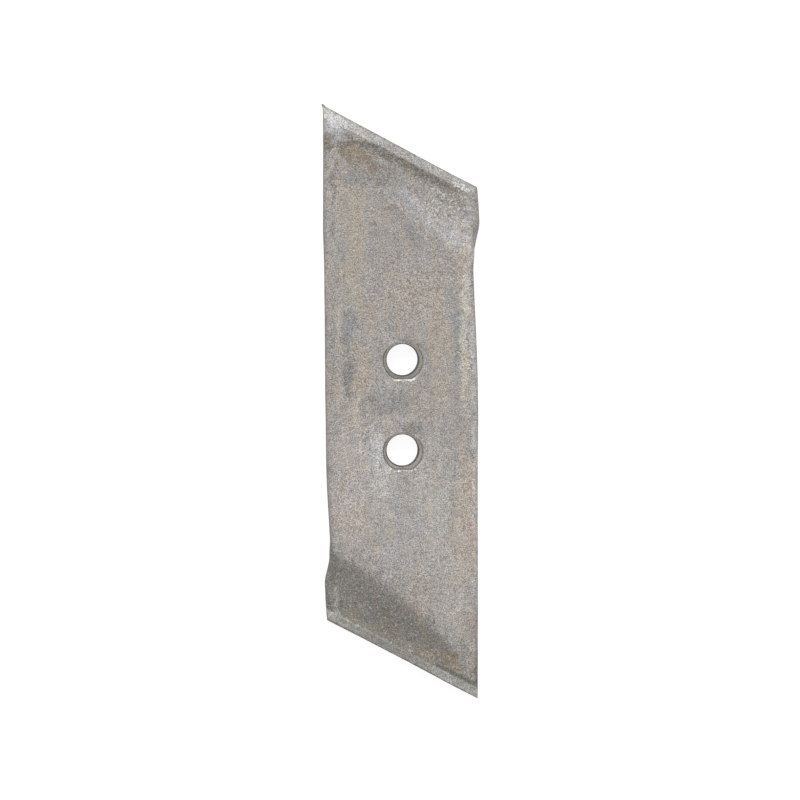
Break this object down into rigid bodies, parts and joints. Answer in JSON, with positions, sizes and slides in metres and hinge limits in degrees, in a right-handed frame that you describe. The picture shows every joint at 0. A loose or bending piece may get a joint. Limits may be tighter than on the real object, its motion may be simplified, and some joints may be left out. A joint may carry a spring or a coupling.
{
  "type": "reversible plowshare point",
  "caption": "Forged steel plough point: a slanted bar with a hollowed cutting edge at each end and tapered bolt holes, turned end for end when worn.",
  "frame": {"origin": "midway between the bolt holes, on the flat back face", "axes": "+Z out of the hollowed front face, +Y along the bar, +X across it; the sharp corner of the upper end is at -X"},
  "size_m": [0.0788, 0.2972, 0.012],
  "materials": {
    "forged_steel": "uncoated hot-forged steel, dull grey scale with faint tan stains"
  },
  "bodies": {
    "root": {"plough_point": "forged_steel"}
  },
  "joints": []
}
